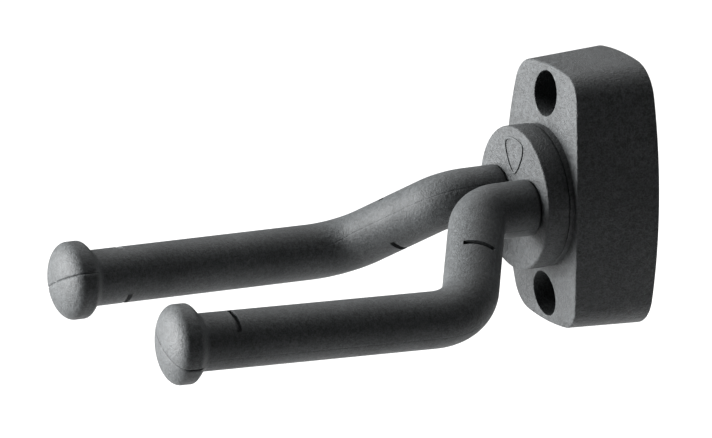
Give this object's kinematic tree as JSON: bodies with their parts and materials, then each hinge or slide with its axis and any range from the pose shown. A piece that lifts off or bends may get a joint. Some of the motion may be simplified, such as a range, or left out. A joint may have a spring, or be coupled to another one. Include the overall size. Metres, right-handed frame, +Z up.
{
  "type": "wall guitar hanger",
  "caption": "Wall-mounted guitar hanger: a moulded housing carries a swivelling disc with two rubber-covered arms that cradle the neck below the headstock.",
  "frame": {"origin": "centre of the housing's wall face, on the swivel axis", "axes": "+Y points into the wall, the arms reach towards -Y, +Z is up, +X is to the right of someone facing the wall"},
  "size_m": [0.0942, 0.1614, 0.0786],
  "materials": {
    "housing_plastic": "fine spark-eroded texture",
    "disc_plastic": "fine spark-eroded texture",
    "sleeve_rubber": "fine matt grain",
    "steel": "drawn bar and stamped plate",
    "zinc_steel": "bright zinc plate",
    "acetal": "satin",
    "nylon": "satin"
  },
  "bodies": {
    "base": {"housing": "housing_plastic", "pivot_bush": "acetal", "glide_ring": "acetal", "hub_washer": "steel", "wave_washer": "steel"},
    "yoke": {"swivel_disc": "disc_plastic", "yoke_plate": "steel", "stop_pin": "steel", "pivot_stud": "zinc_steel", "retaining_washer": "zinc_steel", "lock_nut": "zinc_steel", "nut_locking_ring": "nylon", "right_rod_screw": "zinc_steel", "left_rod_screw": "zinc_steel", "right_arm_rod": "steel", "left_arm_rod": "steel", "right_arm_sleeve": "sleeve_rubber", "left_arm_sleeve": "sleeve_rubber"}
  },
  "joints": [
    {"name": "yoke_swivel", "type": "hinge", "parent": "base", "child": "yoke", "pos_m": [0, 0, 0], "axis": [0, -1, 0], "range_deg": [-30, 30]}
  ]
}
